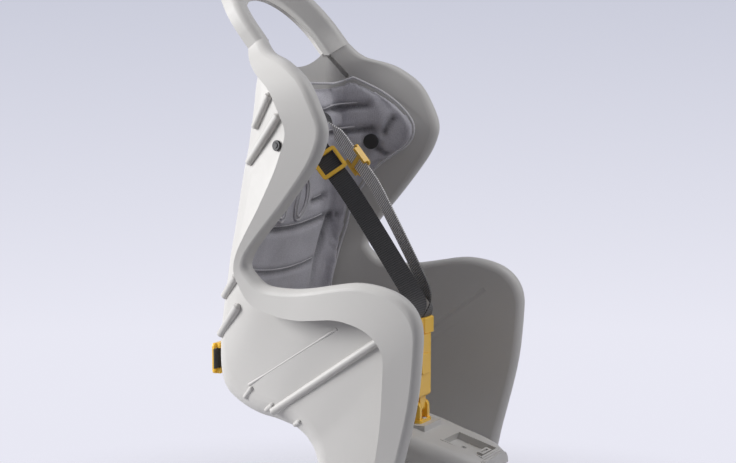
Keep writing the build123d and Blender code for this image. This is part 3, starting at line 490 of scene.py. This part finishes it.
def new_material(name, group, colour, bump, **settings):
    """Material whose shader takes its colour, roughness and bump from a node group."""
    made = bpy.data.materials.new(name)
    made.use_nodes = True
    made.diffuse_color = (*colour, 1)
    tree = made.node_tree
    shader = tree.nodes["Principled BSDF"]
    for label, value in settings.items():
        shader.inputs[label.replace("_", " ")].default_value = value
    place = tree.nodes.new("ShaderNodeTexCoord")
    pattern = tree.nodes.new("ShaderNodeGroup")
    pattern.node_tree = shared(group)
    pattern.inputs["Colour"].default_value = (*colour, 1)
    tree.links.new(place.outputs["Object"], pattern.inputs["Place"])
    tree.links.new(pattern.outputs["Colour"], shader.inputs["Base Color"])
    if "Roughness" in pattern.outputs:
        pattern.inputs["Roughness"].default_value = shader.inputs["Roughness"].default_value
        tree.links.new(pattern.outputs["Roughness"], shader.inputs["Roughness"])
    relief = node(tree, "ShaderNodeBump", Strength=bump[0], Distance=bump[1])
    tree.links.new(pattern.outputs["Height"], relief.inputs["Height"])
    tree.links.new(relief.outputs["Normal"], shader.inputs["Normal"])
    return made


def pattern_of(material):
    """Node of the material that holds its pattern."""
    return next(n for n in material.node_tree.nodes if n.type == "GROUP")


def read_attribute(material, label):
    """Feeds an attribute of the mesh to the pattern's socket of that name."""
    tree = material.node_tree
    read = node(tree, "ShaderNodeAttribute", attribute_name=label)
    tree.links.new(read.outputs["Fac"], pattern_of(material).inputs[label.capitalize()])


def webbing_material(name, colour, contrast, painted_light):
    """Webbing finish that reads the strap's own along and across attributes."""
    made = new_material(name, ribbed_webbing, colour, (0.55, 0.0006), Roughness=0.72, Sheen_Weight=0.15)
    pattern_of(made).inputs["Contrast"].default_value = contrast
    pattern_of(made).inputs["Painted light"].default_value = painted_light
    for label in ("along", "across"):
        read_attribute(made, label)
    return made


def moulding_materials():
    """Finish of each material slot of the rigid pieces."""
    tone = colours()
    grain = (0.12, 0.0003)
    return {
        "shell_plastic": new_material("shell plastic", moulded_grain, tone.shell, grain, Roughness=0.46),
        "yellow_plastic": new_material(
            "buckle plastic", moulded_grain, tone.buckle, (0.08, 0.0002), Roughness=0.34, Coat_Weight=0.1
        ),
        "black_plastic": new_material("black plastic", moulded_grain, tone.black, grain, Roughness=0.5),
        "steel": new_material(
            "plated steel", moulded_grain, tone.steel, (0.05, 0.0001), Roughness=0.3, Metallic=1
        ),
        "foot_rubber": new_material("foot rubber", moulded_grain, tone.rubber, (0.2, 0.0004), Roughness=0.68),
    }


SOFT_SLOTS = ("liner_fabric", "webbing", "foot_rubber")
ROUNDED = ("buckle", "slider", "keeper", "clevis", "button", "washer", "knob", "footrest", "bracket")


def edge_width(node_name):
    """Rounding of the edges of a small moulding."""
    if node_name == "buckle_body":
        return sizes().buckle_edge
    if "slider" in node_name or "keeper" in node_name:
        return sizes().slider_edge
    return sizes().edge


class SEAT_OT_mouldings(bpy.types.Operator):
    """Gives every rigid piece its moulded or plated finish and rounds the edges of the small ones"""

    bl_idname = "child_seat.mouldings"
    bl_label = "Finish mouldings"

    def execute(self, context):
        finishes = moulding_materials()
        for row in frame["record"]["subparts"]:
            if row["material_slot"] in SOFT_SLOTS:
                continue
            piece = frame["nodes"][row["node"]]
            piece.data.materials.clear()
            piece.data.materials.append(finishes[row["material_slot"]])
            if any(word in row["node"] for word in ROUNDED):
                weld = piece.modifiers.new("joined", "WELD")
                weld.merge_threshold = JOIN_DIST
                edge = piece.modifiers.new("rounded", "BEVEL")
                edge.width = edge_width(row["node"])
                edge.segments = 2
                edge.limit_method = "ANGLE"
                edge.angle_limit = radians(SHARP_ANGLE)
                edge.use_clamp_overlap = True
                edge.harden_normals = True
        return {"FINISHED"}


class SEAT_OT_slit_pockets(bpy.types.Operator):
    """Closes the slits in the wings with their blind pockets"""

    bl_idname = "child_seat.slit_pockets"
    bl_label = "Close wing slits"

    def execute(self, context):
        end, along, outwards = (Vector(row) for row in WING_SLIT)
        turn = Matrix((outwards.cross(along), along, outwards)).transposed().to_4x4()
        bm = bmesh.new()
        bmesh.ops.create_circle(bm, segments=24, radius=WING_SLIT_HALF)
        upper = [v for v in bm.verts if v.co.y > 1e-6]
        bmesh.ops.translate(bm, verts=upper, vec=(0, WING_SLIT_RUN, 0))
        rim = list(bm.edges)
        made = bmesh.ops.extrude_edge_only(bm, edges=rim)["geom"]
        deep = [v for v in made if isinstance(v, bmesh.types.BMVert)]
        bmesh.ops.translate(bm, verts=deep, vec=(0, 0, sizes().pocket))
        bmesh.ops.contextual_create(bm, geom=[e for e in made if isinstance(e, bmesh.types.BMEdge)])
        bmesh.ops.translate(bm, verts=bm.verts, vec=(0, 0, POCKET_START))
        bmesh.ops.transform(bm, matrix=Matrix.Translation(end) @ turn, verts=bm.verts)
        bmesh.ops.recalc_face_normals(bm, faces=bm.faces)
        bmesh.ops.solidify(bm, geom=bm.faces[:], thickness=POCKET_WALL)
        bmesh.ops.mirror(bm, geom=bm.verts[:] + bm.edges[:] + bm.faces[:], axis="X", merge_dist=1e-6)
        bmesh.ops.recalc_face_normals(bm, faces=bm.faces)
        pockets = add_object("wing_slit_pockets", finish_mesh(bm, "wing_slit_pockets", crease=SHARP_ANGLE))
        pockets.data.materials.append(bpy.data.materials["shell plastic"])
        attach(pockets, "seat")
        return {"FINISHED"}


def tube_mesh(name, runs, radius, closed):
    """Round piping along runs of points."""
    curve = bpy.data.curves.new(name, "CURVE")
    curve.dimensions = "3D"
    curve.bevel_depth = radius
    curve.bevel_resolution = TUBE_ROUND
    curve.use_fill_caps = True
    for run in runs:
        line = curve.splines.new("NURBS")
        line.points.add(len(run) - 1)
        for point, co in zip(line.points, run):
            point.co = (*co, 1)
        line.use_cyclic_u = closed
        line.use_endpoint_u = not closed
        line.order_u = 4
        line.resolution_u = TUBE_ROUND
    made = add_object(name, curve)
    mesh = baked(made)
    bpy.data.objects.remove(made)
    bpy.data.curves.remove(curve)
    mesh.name = name
    mesh.shade_smooth()
    return mesh


class SEAT_OT_wall_creases(bpy.types.Operator):
    """Raises the low crease along each outer lap wall"""

    bl_idname = "child_seat.wall_creases"
    bl_label = "Raise wall creases"

    def execute(self, context):
        walls = BVHTree.FromBMesh(merged_copy("seat_shell"))
        (y0, z0), (y1, z1) = WALL_CREASE
        runs = []
        for side in (-1, 1):
            run = []
            for k in range(CREASE_POINTS):
                t = k / (CREASE_POINTS - 1)
                start = Vector((side * RAY_SIDE, y0 + t * (y1 - y0), z0 + t * (z1 - z0)))
                hit, normal = walls.ray_cast(start, Vector((-side, 0, 0)))[:2]
                run.append(hit - normal * CREASE_SINK * sizes().crease)
            runs.append(run)
        mesh = tube_mesh("lap_wall_creases", runs, sizes().crease, False)
        creases = add_object("lap_wall_creases", mesh)
        creases.data.materials.append(bpy.data.materials["shell plastic"])
        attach(creases, "seat")
        return {"FINISHED"}


def near_line(a, b, a0, b0, a1, b1, width):
    """Bell of the distance from a point to a short line in a plane."""
    da, db = a1 - a0, b1 - b0
    t = max(0, min(1, ((a - a0) * da + (b - b0) * db) / (da * da + db * db)))
    return exp(-((hypot(a - a0 - t * da, b - b0 - t * db) / width) ** 2))


def seam_pull(x, y, z, normal):
    """How strongly a sewn channel pulls on a point of the liner, from 0 to 1."""
    width = sizes().seam_width
    pull = 0
    side = abs(x)
    for height, inner, half, forward in BACK_SEAMS:
        if inner <= side < half and y > forward:
            fade = min(1, (half - side) / SEAM_FADE, (y - forward) / SEAM_FADE)
            if inner:
                fade = min(fade, (side - inner) / SEAM_FADE)
            drop = z - height - SEAM_SAG * (side / SAG_AT) ** 2
            pull = max(pull, fade * exp(-((drop / width) ** 2)))
    if side > FLAP_FROM:
        for (y0, z0), (y1, z1) in FLAP_SEAMS:
            pull = max(pull, near_line(y, z, y0, z0, y1, z1, width * FLAP_SHARE))
    if normal.y < BOLSTER_TURN:
        for (x0, z0), (x1, z1) in BOLSTER_SEAMS:
            pull = max(pull, near_line(side, z, x0, z0, x1, z1, width))
    return pull


class SEAT_OT_liner(bpy.types.Operator):
    """Puffs the quilted liner, sews its channels and lays it in the shell"""

    bl_idname = "child_seat.liner"
    bl_label = "Puff liner"

    def execute(self, context):
        size = sizes()
        bm = merged_copy("seat_pad")
        for vert in bm.verts:
            vert.co -= vert.normal * size.shrink
        liner = add_object("quilted_liner", finish_mesh(bm, "quilted_liner"))
        remesh = liner.modifiers.new("cloth", "REMESH")
        remesh.mode = "VOXEL"
        remesh.voxel_size = size.voxel
        settle(liner, baked(liner))
        shell_walls = BVHTree.FromBMesh(merged_copy("seat_shell"))
        rest = [v.co.copy() for v in liner.data.vertices]
        room = [shell_walls.find_nearest(co)[3] for co in rest]
        self.puff(liner, context.scene)
        for vert, start, gap in zip(liner.data.vertices, rest, room):
            move = vert.co - start
            most = min(size.puff, max(0, gap - size.clear))
            if move.length > most:
                move *= most / move.length
            vert.co = start + move
        liner.data.update()
        normals = [n.vector.copy() for n in liner.data.vertex_normals]
        pulls = []
        for vert, normal, gap in zip(liner.data.vertices, normals, room):
            free = min(1, max(0, gap - HELD_DEPTH) / HELD_FADE)
            pulls.append(free * seam_pull(*vert.co, normal))
            lift = free * size.crumple * field.noise(vert.co * CRUMPLES)
            vert.co += normal * (lift - size.seam * pulls[-1])
        # The channels' pull is kept on the mesh to paint shade into the channels
        sewn = liner.data.attributes.new("sewn", "FLOAT", "POINT")
        sewn.data.foreach_set("value", pulls)
        soft = liner.modifiers.new("soft", "SUBSURF")
        soft.levels = soft.render_levels = 1
        settle(liner, baked(liner))
        liner.data.shade_smooth()
        cloth = new_material(
            "liner cloth", quilted_cloth, colours().liner, (0.35, 0.0006), Roughness=0.88, Sheen_Weight=0.25
        )
        read_attribute(cloth, "sewn")
        liner.data.materials.clear()
        liner.data.materials.append(cloth)
        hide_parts("seat_pad")
        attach(liner, "seat")
        return {"FINISHED"}

    def puff(self, liner, scene):
        """Lets the filling press the cloth outwards."""
        cloth = liner.modifiers.new("filling", "CLOTH")
        cloth.settings.use_pressure = True
        cloth.settings.uniform_pressure_force = PRESSURE
        cloth.settings.effector_weights.gravity = 0
        cloth.point_cache.frame_start = 1
        cloth.point_cache.frame_end = PUFF_STEPS
        for step in range(1, PUFF_STEPS + 1):
            scene.frame_set(step)
        puffed = baked(liner)
        scene.frame_set(1)
        settle(liner, puffed)


class SEAT_OT_piping(bpy.types.Operator):
    """Binds the front edges of the liner and its strap slits with piping"""

    bl_idname = "child_seat.piping"
    bl_label = "Bind liner"

    def execute(self, context):
        bm = merged_copy("seat_pad")
        shell_walls = BVHTree.FromBMesh(merged_copy("seat_shell"))
        border = bmesh.new()
        found = {}
        for edge in bm.edges:
            if len(edge.link_faces) != 2 or edge.calc_face_angle(0) < BORDER_ANGLE:
                continue
            ends = [v.co for v in edge.verts]
            if min(shell_walls.find_nearest(co)[3] for co in ends) < BORDER_CLEAR:
                continue
            for v in edge.verts:
                if v.index not in found:
                    found[v.index] = border.verts.new(v.co)
            border.edges.new([found[v.index] for v in edge.verts])
        bm.free()
        mesh = bpy.data.meshes.new("border")
        border.to_mesh(mesh)
        border.free()
        line = add_object("liner_piping", mesh)
        bpy.ops.object.select_all(action="DESELECT")
        line.select_set(True)
        context.view_layer.objects.active = line
        bpy.ops.object.convert(target="CURVE")
        line.data.bevel_depth = sizes().piping
        line.data.bevel_resolution = TUBE_ROUND
        bound = baked(line)
        bpy.data.objects.remove(line)
        bound.name = "liner_piping"
        bound.shade_smooth()
        bound.materials.clear()
        bound.materials.append(
            new_material("piping cloth", quilted_cloth, colours().piping, (0.3, 0.0004), Roughness=0.85)
        )
        piping = add_object("liner_piping", bound)
        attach(piping, "seat")
        liner = bpy.data.objects["quilted_liner"].data
        face = BVHTree.FromPolygons([v.co for v in liner.vertices], [p.vertices for p in liner.polygons])
        self.slits(face)
        self.welts(face)
        return {"FINISHED"}

    def welts(self, face):
        """Raised seams along the sewn channels across the back, in the paler piping cloth as a painted
        highlight.
        """
        runs = []
        for height, inner, half, forward in BACK_SEAMS:
            stretches = [(-half, -inner), (inner, half)] if inner else [(-half, half)]
            for start, end in stretches:
                run = []
                count = round((end - start) / WELT_STEP)
                for k in range(1, count):
                    x = start + (end - start) * k / count
                    z = height + SEAM_SAG * (x / SAG_AT) ** 2 + sizes().seam_width
                    hit = face.ray_cast(Vector((x, RAY_FRONT, z)), Vector((0, 1, 0)))[0]
                    if hit and hit.y > forward + SEAM_FADE:
                        run.append(hit)
                runs.append(run)
        mesh = tube_mesh("liner_welts", runs, sizes().welt, False)
        # Painted highlight: the welts take the paler piping cloth so the raised seams read lighter
        mesh.materials.append(bpy.data.materials["piping cloth"])
        welts = add_object("liner_welts", mesh)
        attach(welts, "seat")

    def slits(self, face):
        """Piped ovals of the strap slits in the back of the liner."""
        x, z, half, tall, lean = SLIT
        runs = []
        for side in (-1, 1):
            for grow in SLIT_RINGS:
                ring = []
                for k in range(SLIT_POINTS):
                    turn = 2 * pi * k / SLIT_POINTS
                    a, b = half * grow * cos(turn), (tall + half * (grow - 1)) * sin(turn)
                    px, pz = x + a * cos(lean) + b * sin(lean) * SLIT_SHEAR, z + b * cos(lean)
                    hit = face.ray_cast(Vector((side * px, RAY_FRONT, pz)), Vector((0, 1, 0)))[0]
                    ring.append(hit - Vector((0, sizes().piping * SLIT_LIFT, 0)))
                runs.append(ring)
        mesh = tube_mesh("liner_slits", runs, sizes().piping * SLIT_THIN, True)
        mesh.materials.append(bpy.data.materials["piping cloth"])
        slits = add_object("liner_slits", mesh)
        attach(slits, "seat")


def webbing_strip(name, run, side):
    """Strap of webbing along a run of centre points, with its length and width kept as attributes."""
    size = sizes()
    rows = smooth_run([[*point, *wide] for point, wide in run], RUN_STEP)
    points = [Vector((side * r[0], r[1], r[2])) for r in rows]
    wides = [Vector((r[3], side * r[4], side * r[5])).normalized() for r in rows]
    bm = bmesh.new()
    along = bm.verts.layers.float.new("along")
    across = bm.verts.layers.float.new("across")
    shares = [2 * k / WEB_ACROSS - 1 for k in range(WEB_ACROSS + 1)]
    row = [bm.verts.new() for _ in shares]
    edges = [bm.edges.new(pair) for pair in zip(row, row[1:])]
    travel = 0
    for k, (point, wide) in enumerate(zip(points, wides)):
        if k:
            travel += (point - points[k - 1]).length
            made = bmesh.ops.extrude_edge_only(bm, edges=edges)["geom"]
            fresh = [v for v in made if isinstance(v, bmesh.types.BMVert)]
            tie = {}
            for vert in fresh:
                for edge in vert.link_edges:
                    other = edge.other_vert(vert)
                    if other in row:
                        tie[other] = vert
            row = [tie[v] for v in row]
            edges = [bm.edges.get(pair) for pair in zip(row, row[1:])]
        for vert, share in zip(row, shares):
            vert.co = point + wide * (share * size.strap_width / 2)
            vert[along] = travel
            vert[across] = share
    bmesh.ops.recalc_face_normals(bm, faces=bm.faces)
    bm.normal_update()
    middle = min(bm.faces, key=lambda f: (f.calc_center_median() - points[len(points) // 2]).length)
    if middle.normal.y > 0:
        bmesh.ops.reverse_faces(bm, faces=bm.faces)
        bm.normal_update()
    for vert in bm.verts:
        vert.co += vert.normal * size.strap_thick / 2
    fronts = set(bm.faces)
    bmesh.ops.solidify(bm, geom=list(bm.faces), thickness=size.strap_thick)
    for face in bm.faces:
        face.material_index = 0 if face in fronts else 1
    return finish_mesh(bm, name, crease=STRAP_ANGLE)


class SEAT_OT_harness(bpy.types.Operator):
    """Weaves the shoulder and lap webbing of the harness"""

    bl_idname = "child_seat.harness"
    bl_label = "Weave harness"

    def execute(self, context):
        tone = colours()
        # The last number is the painted light along the strap: negative lightens the face as painted sheen,
        # positive darkens the back as painted shade
        face = webbing_material("webbing face", tone.webbing, 0.75, -1.3)
        # Painted sheen: the back is pale with strong rib stripes where light glances off the dark webbing
        back = webbing_material("webbing back", tone.webbing_back, 1.05, 0.88)
        for side, word in ((-1, "left"), (1, "right")):
            for kind, run, bend, under in (
                ("shoulder", SHOULDER_RUN, SHOULDER_BEND, back),
                ("lap", LAP_RUN, LAP_BEND, face),
            ):
                name = f"{kind}_webbing_{word}"
                strap = add_object(name, webbing_strip(name, run, side))
                strap.data.materials.append(face)
                strap.data.materials.append(under)
                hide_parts(f"{kind}_strap_{word}")
                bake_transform(strap)
        return {"FINISHED"}


class SEAT_OT_foot_straps(bpy.types.Operator):
    """Rounds the soft straps over the feet"""

    bl_idname = "child_seat.foot_straps"
    bl_label = "Mould foot straps"

    def execute(self, context):
        for word in ("left", "right"):
            node_name = f"foot_strap_{word}"
            bm = merged_copy(node_name)
            bmesh.ops.dissolve_limit(bm, angle_limit=radians(1), verts=bm.verts, edges=bm.edges)
            pairs = [e for e in bm.edges if len(e.link_faces) == 2]
            sharp = [e for e in pairs if e.calc_face_angle(0) > radians(STRAP_ANGLE)]
            bmesh.ops.bevel(
                bm, geom=sharp, offset=FOOT_STRAP_EDGE, segments=2, profile=0.5,
                affect="EDGES", material=-1, clamp_overlap=True,
            )
            bmesh.ops.triangulate(bm, faces=bm.faces)
            mesh = finish_mesh(bm, f"soft_foot_strap_{word}", crease=SHARP_ANGLE)
            mesh.materials.clear()
            mesh.materials.append(bpy.data.materials["foot rubber"])
            strap = add_object(f"soft_foot_strap_{word}", mesh)
            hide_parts(node_name)
            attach(strap, f"cup_{word}")
        return {"FINISHED"}


def aimed(obj, place, target):
    """Puts a lamp or camera at a place, looking at a target."""
    obj.location = place
    obj.rotation_euler = (Vector(target) - Vector(place)).to_track_quat("-Z", "Y").to_euler()


class SEAT_OT_stage(bpy.types.Operator):
    """Sets the pale floor, soft lamps, backdrop light and camera"""

    bl_idname = "child_seat.stage"
    bl_label = "Set stage"

    def execute(self, context):
        scene = context.scene
        scene.view_settings.view_transform = "Standard"
        self.floor()
        self.backdrop(scene)
        for name, place, target, size, power in LAMPS:
            lamp = bpy.data.lights.new(name, "AREA")
            lamp.shape = "SQUARE"
            lamp.size = size
            lamp.energy = power
            aimed(add_object(name, lamp), place, target)
        view = bpy.data.cameras.new("camera")
        view.sensor_width = CAMERA_SENSOR
        view.lens = CAMERA_LENS
        camera = add_object("camera", view)
        aimed(camera, CAMERA_PLACE, CAMERA_TARGET)
        scene.camera = camera
        return {"FINISHED"}

    def floor(self):
        """Pale disc under the seat that fades out towards its rim."""
        bm = bmesh.new()
        bmesh.ops.create_circle(bm, cap_ends=True, segments=96, radius=FLOOR_RADIUS)
        bmesh.ops.translate(bm, verts=bm.verts, vec=(0, 0, CAD_BOX[0][2] - FLOOR_DROP))
        disc = add_object("floor", finish_mesh(bm, "floor"))
        made = bpy.data.materials.new("floor paper")
        made.use_nodes = True
        tree = made.node_tree
        paper = tree.nodes["Principled BSDF"]
        paper.inputs["Base Color"].default_value = (*colours().paper, 1)
        paper.inputs["Roughness"].default_value = 0.9
        place = tree.nodes.new("ShaderNodeTexCoord")
        reach = node(tree, "ShaderNodeVectorMath", operation="LENGTH")
        tree.links.new(place.outputs["Object"], reach.inputs[0])
        fade = node(tree, "ShaderNodeMapRange", interpolation_type="SMOOTHSTEP", **FLOOR_FADE)
        tree.links.new(reach.outputs["Value"], fade.inputs["Value"])
        tree.links.new(fade.outputs["Result"], paper.inputs["Alpha"])
        disc.data.materials.append(made)

    def backdrop(self, scene):
        """Pale lavender backdrop for the camera and a dim even light for the seat."""
        world = scene.world or bpy.data.worlds.new("studio")
        scene.world = world
        world.use_nodes = True
        tree = world.node_tree
        tree.nodes.clear()
        out = tree.nodes.new("ShaderNodeOutputWorld")
        place = tree.nodes.new("ShaderNodeTexCoord")
        split = tree.nodes.new("ShaderNodeSeparateXYZ")
        tree.links.new(place.outputs["Generated"], split.inputs[0])
        ramp = node(tree, "ShaderNodeMapRange", **BACKDROP_FADE)
        tree.links.new(split.outputs["Z"], ramp.inputs["Value"])
        mix = tree.nodes.new("ShaderNodeMix")
        mix.data_type = "RGBA"
        mix.inputs[6].default_value = BACKDROP_LOW
        mix.inputs[7].default_value = BACKDROP_HIGH
        tree.links.new(ramp.outputs["Result"], mix.inputs[0])
        seen = tree.nodes.new("ShaderNodeBackground")
        tree.links.new(mix.outputs[2], seen.inputs["Color"])
        dim = node(tree, "ShaderNodeBackground", Strength=DIM_STRENGTH, Color=DIM_COLOUR)
        path = tree.nodes.new("ShaderNodeLightPath")
        blend = tree.nodes.new("ShaderNodeMixShader")
        rays = sums(tree, "MAXIMUM", path.outputs["Is Camera Ray"], path.outputs["Is Transmission Ray"])
        rays = sums(tree, "MAXIMUM", rays, path.outputs["Is Glossy Ray"])
        tree.links.new(rays, blend.inputs[0])
        tree.links.new(dim.outputs[0], blend.inputs[1])
        tree.links.new(seen.outputs[0], blend.inputs[2])
        tree.links.new(blend.outputs[0], out.inputs["Surface"])


class SEAT_PT_panel(bpy.types.Panel):
    """Lists the seat's steps, colours and sizes"""

    bl_idname = "SEAT_PT_panel"
    bl_label = "Child seat"
    bl_space_type = "VIEW_3D"
    bl_region_type = "UI"
    bl_category = "Child seat"

    def draw(self, context):
        for step in STEPS:
            self.layout.operator(step.bl_idname)
        for group in (context.scene.seat_colours, context.scene.seat_sizes):
            for key in group.__annotations__:
                self.layout.prop(group, key)


STEPS = (
    SEAT_OT_mouldings,
    SEAT_OT_slit_pockets,
    SEAT_OT_wall_creases,
    SEAT_OT_liner,
    SEAT_OT_piping,
    SEAT_OT_harness,
    SEAT_OT_foot_straps,
    SEAT_OT_stage,
)
CLASSES = (SeatColours, SeatSizes, *STEPS, SEAT_PT_panel)


def register():
    """Makes the steps, the panel and their settings known to Blender."""
    for item in CLASSES:
        bpy.utils.register_class(item)
    bpy.types.Scene.seat_colours = PointerProperty(type=SeatColours)
    bpy.types.Scene.seat_sizes = PointerProperty(type=SeatSizes)


def unregister():
    """Takes the settings, the panel and the steps out again."""
    del bpy.types.Scene.seat_colours
    del bpy.types.Scene.seat_sizes
    for item in reversed(CLASSES):
        bpy.utils.unregister_class(item)


def main():
    """Registers the steps and runs every one of them."""
    register()
    bpy.ops.child_seat.mouldings()
    bpy.ops.child_seat.slit_pockets()
    bpy.ops.child_seat.wall_creases()
    bpy.ops.child_seat.liner()
    bpy.ops.child_seat.piping()
    bpy.ops.child_seat.harness()
    bpy.ops.child_seat.foot_straps()
    bpy.ops.child_seat.stage()


if __name__ == "__main__":
    main()
